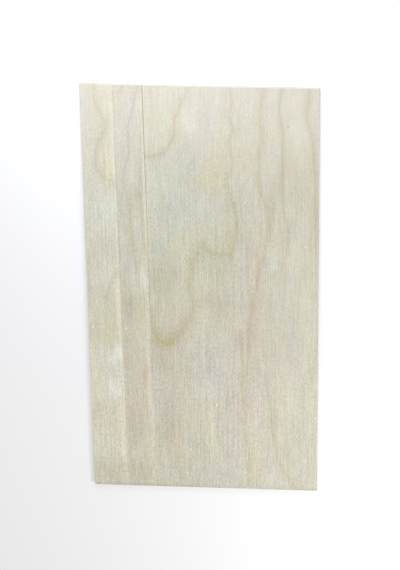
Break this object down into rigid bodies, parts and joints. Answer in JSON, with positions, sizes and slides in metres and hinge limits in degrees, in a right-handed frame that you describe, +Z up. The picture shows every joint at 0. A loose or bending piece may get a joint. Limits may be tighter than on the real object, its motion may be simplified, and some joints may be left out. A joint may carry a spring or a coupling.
{
  "type": "plywood sheet",
  "caption": "Full-size flat plywood sheet with a pale birch face laid in three veneer strips, lying face up.",
  "frame": {"origin": "middle of the underside, on the floor that the sheet lies on", "axes": "+Y along the sheet and its face grain to the head end, +Z up out of the shown face, +X across the sheet away from the narrow veneer strips"},
  "size_m": [1.22, 2.44, 0.018],
  "materials": {
    "birch_plywood": "sanded, unfinished"
  },
  "bodies": {
    "root": {"plywood_sheet": "birch_plywood"}
  },
  "joints": []
}
